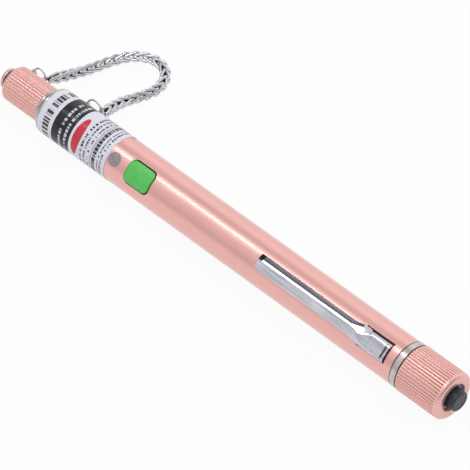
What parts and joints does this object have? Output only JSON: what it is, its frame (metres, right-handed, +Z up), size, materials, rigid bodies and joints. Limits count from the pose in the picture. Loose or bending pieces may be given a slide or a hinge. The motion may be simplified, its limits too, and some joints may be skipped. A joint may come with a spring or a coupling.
{
  "type": "visual fault locator",
  "caption": "Pen-shaped laser fault locator for optical fibre: metallic barrel, green mode button, pocket clip, screw tail cap with push switch, and a chained dust cap.",
  "frame": {"origin": "centre of the ferrule port's mouth, on the barrel's axis", "axes": "+X along the barrel from the port towards the tail switch, +Z up with the pen lying on its side; the button and clip face -Y and up, the chain lies on the +Y side"},
  "size_m": [0.1739, 0.0463, 0.0145],
  "materials": {
    "rose_barrel": "satin",
    "rose_cap": "satin",
    "silver_fittings": "satin",
    "polished_clip": "polished",
    "steel_wire": "satin",
    "green_button": "satin",
    "clear_window": "gloss",
    "label_film": "satin",
    "black_plastic": "satin",
    "grey_plastic": "matte",
    "seal_rubber": "matte",
    "sleeve_ceramic": "gloss",
    "lens_glass": "gloss",
    "diode_metal": "polished",
    "board_laminate": "satin",
    "cell_jacket": "gloss",
    "liner_card": "matte"
  },
  "bodies": {
    "root": {"barrel_tube": "rose_barrel", "nose_adapter": "silver_fittings", "ferrule_sleeve": "sleeve_ceramic", "laser_housing": "diode_metal", "collimator_lens": "lens_glass", "laser_diode": "diode_metal", "board_carrier": "black_plastic", "circuit_board": "board_laminate", "indicator_led": "clear_window", "indicator_window": "clear_window", "mode_switch": "grey_plastic", "battery_liner": "liner_card", "front_contact": "steel_wire", "front_battery": "cell_jacket", "rear_battery": "cell_jacket", "pocket_clip": "polished_clip", "wrap_label": "label_film", "tail_coupling": "silver_fittings", "barrel_eye": "steel_wire", "barrel_ring": "steel_wire", "lanyard_chain": "steel_wire"},
    "dust_cap": {"dust_cap": "rose_cap", "cap_seal": "seal_rubber", "cap_plug": "rose_cap", "cap_eye": "steel_wire", "cap_ring": "steel_wire"},
    "mode_button": {"mode_button": "green_button", "switch_plunger": "black_plastic"},
    "switch_module": {"switch_body": "black_plastic", "switch_collar": "grey_plastic", "switch_retainer": "steel_wire", "tail_spring": "steel_wire"},
    "tail_cap": {"tail_cap": "rose_cap"},
    "tail_button": {"tail_button": "black_plastic"}
  },
  "joints": [
    {"name": "cap_pull", "type": "slide", "parent": "root", "child": "dust_cap", "axis": [-1, 0, 0], "range_m": [0, 0.03], "deforming": ["lanyard_chain"]},
    {"name": "mode_press", "type": "slide", "parent": "root", "child": "mode_button", "axis": [0, 0.682, -0.7314], "range_m": [0, 0.0004], "stiffness_N_per_m": 2000},
    {"name": "tail_cap_travel", "type": "slide", "parent": "root", "child": "switch_module", "axis": [1, 0, 0], "range_m": [0, 0.0065]},
    {"name": "tail_cap_turn", "type": "hinge", "parent": "switch_module", "child": "tail_cap", "pos_m": [0.156, 0, 0], "axis": [1, 0, 0], "range_deg": [0, 2340]},
    {"name": "tail_press", "type": "slide", "parent": "switch_module", "child": "tail_button", "axis": [-1, 0, 0], "range_m": [0, 0.0016], "stiffness_N_per_m": 1000}
  ],
  "couplings": [
    {"joint": "tail_cap_turn", "follows": "tail_cap_travel", "rad_per_m": 6283.2}
  ]
}
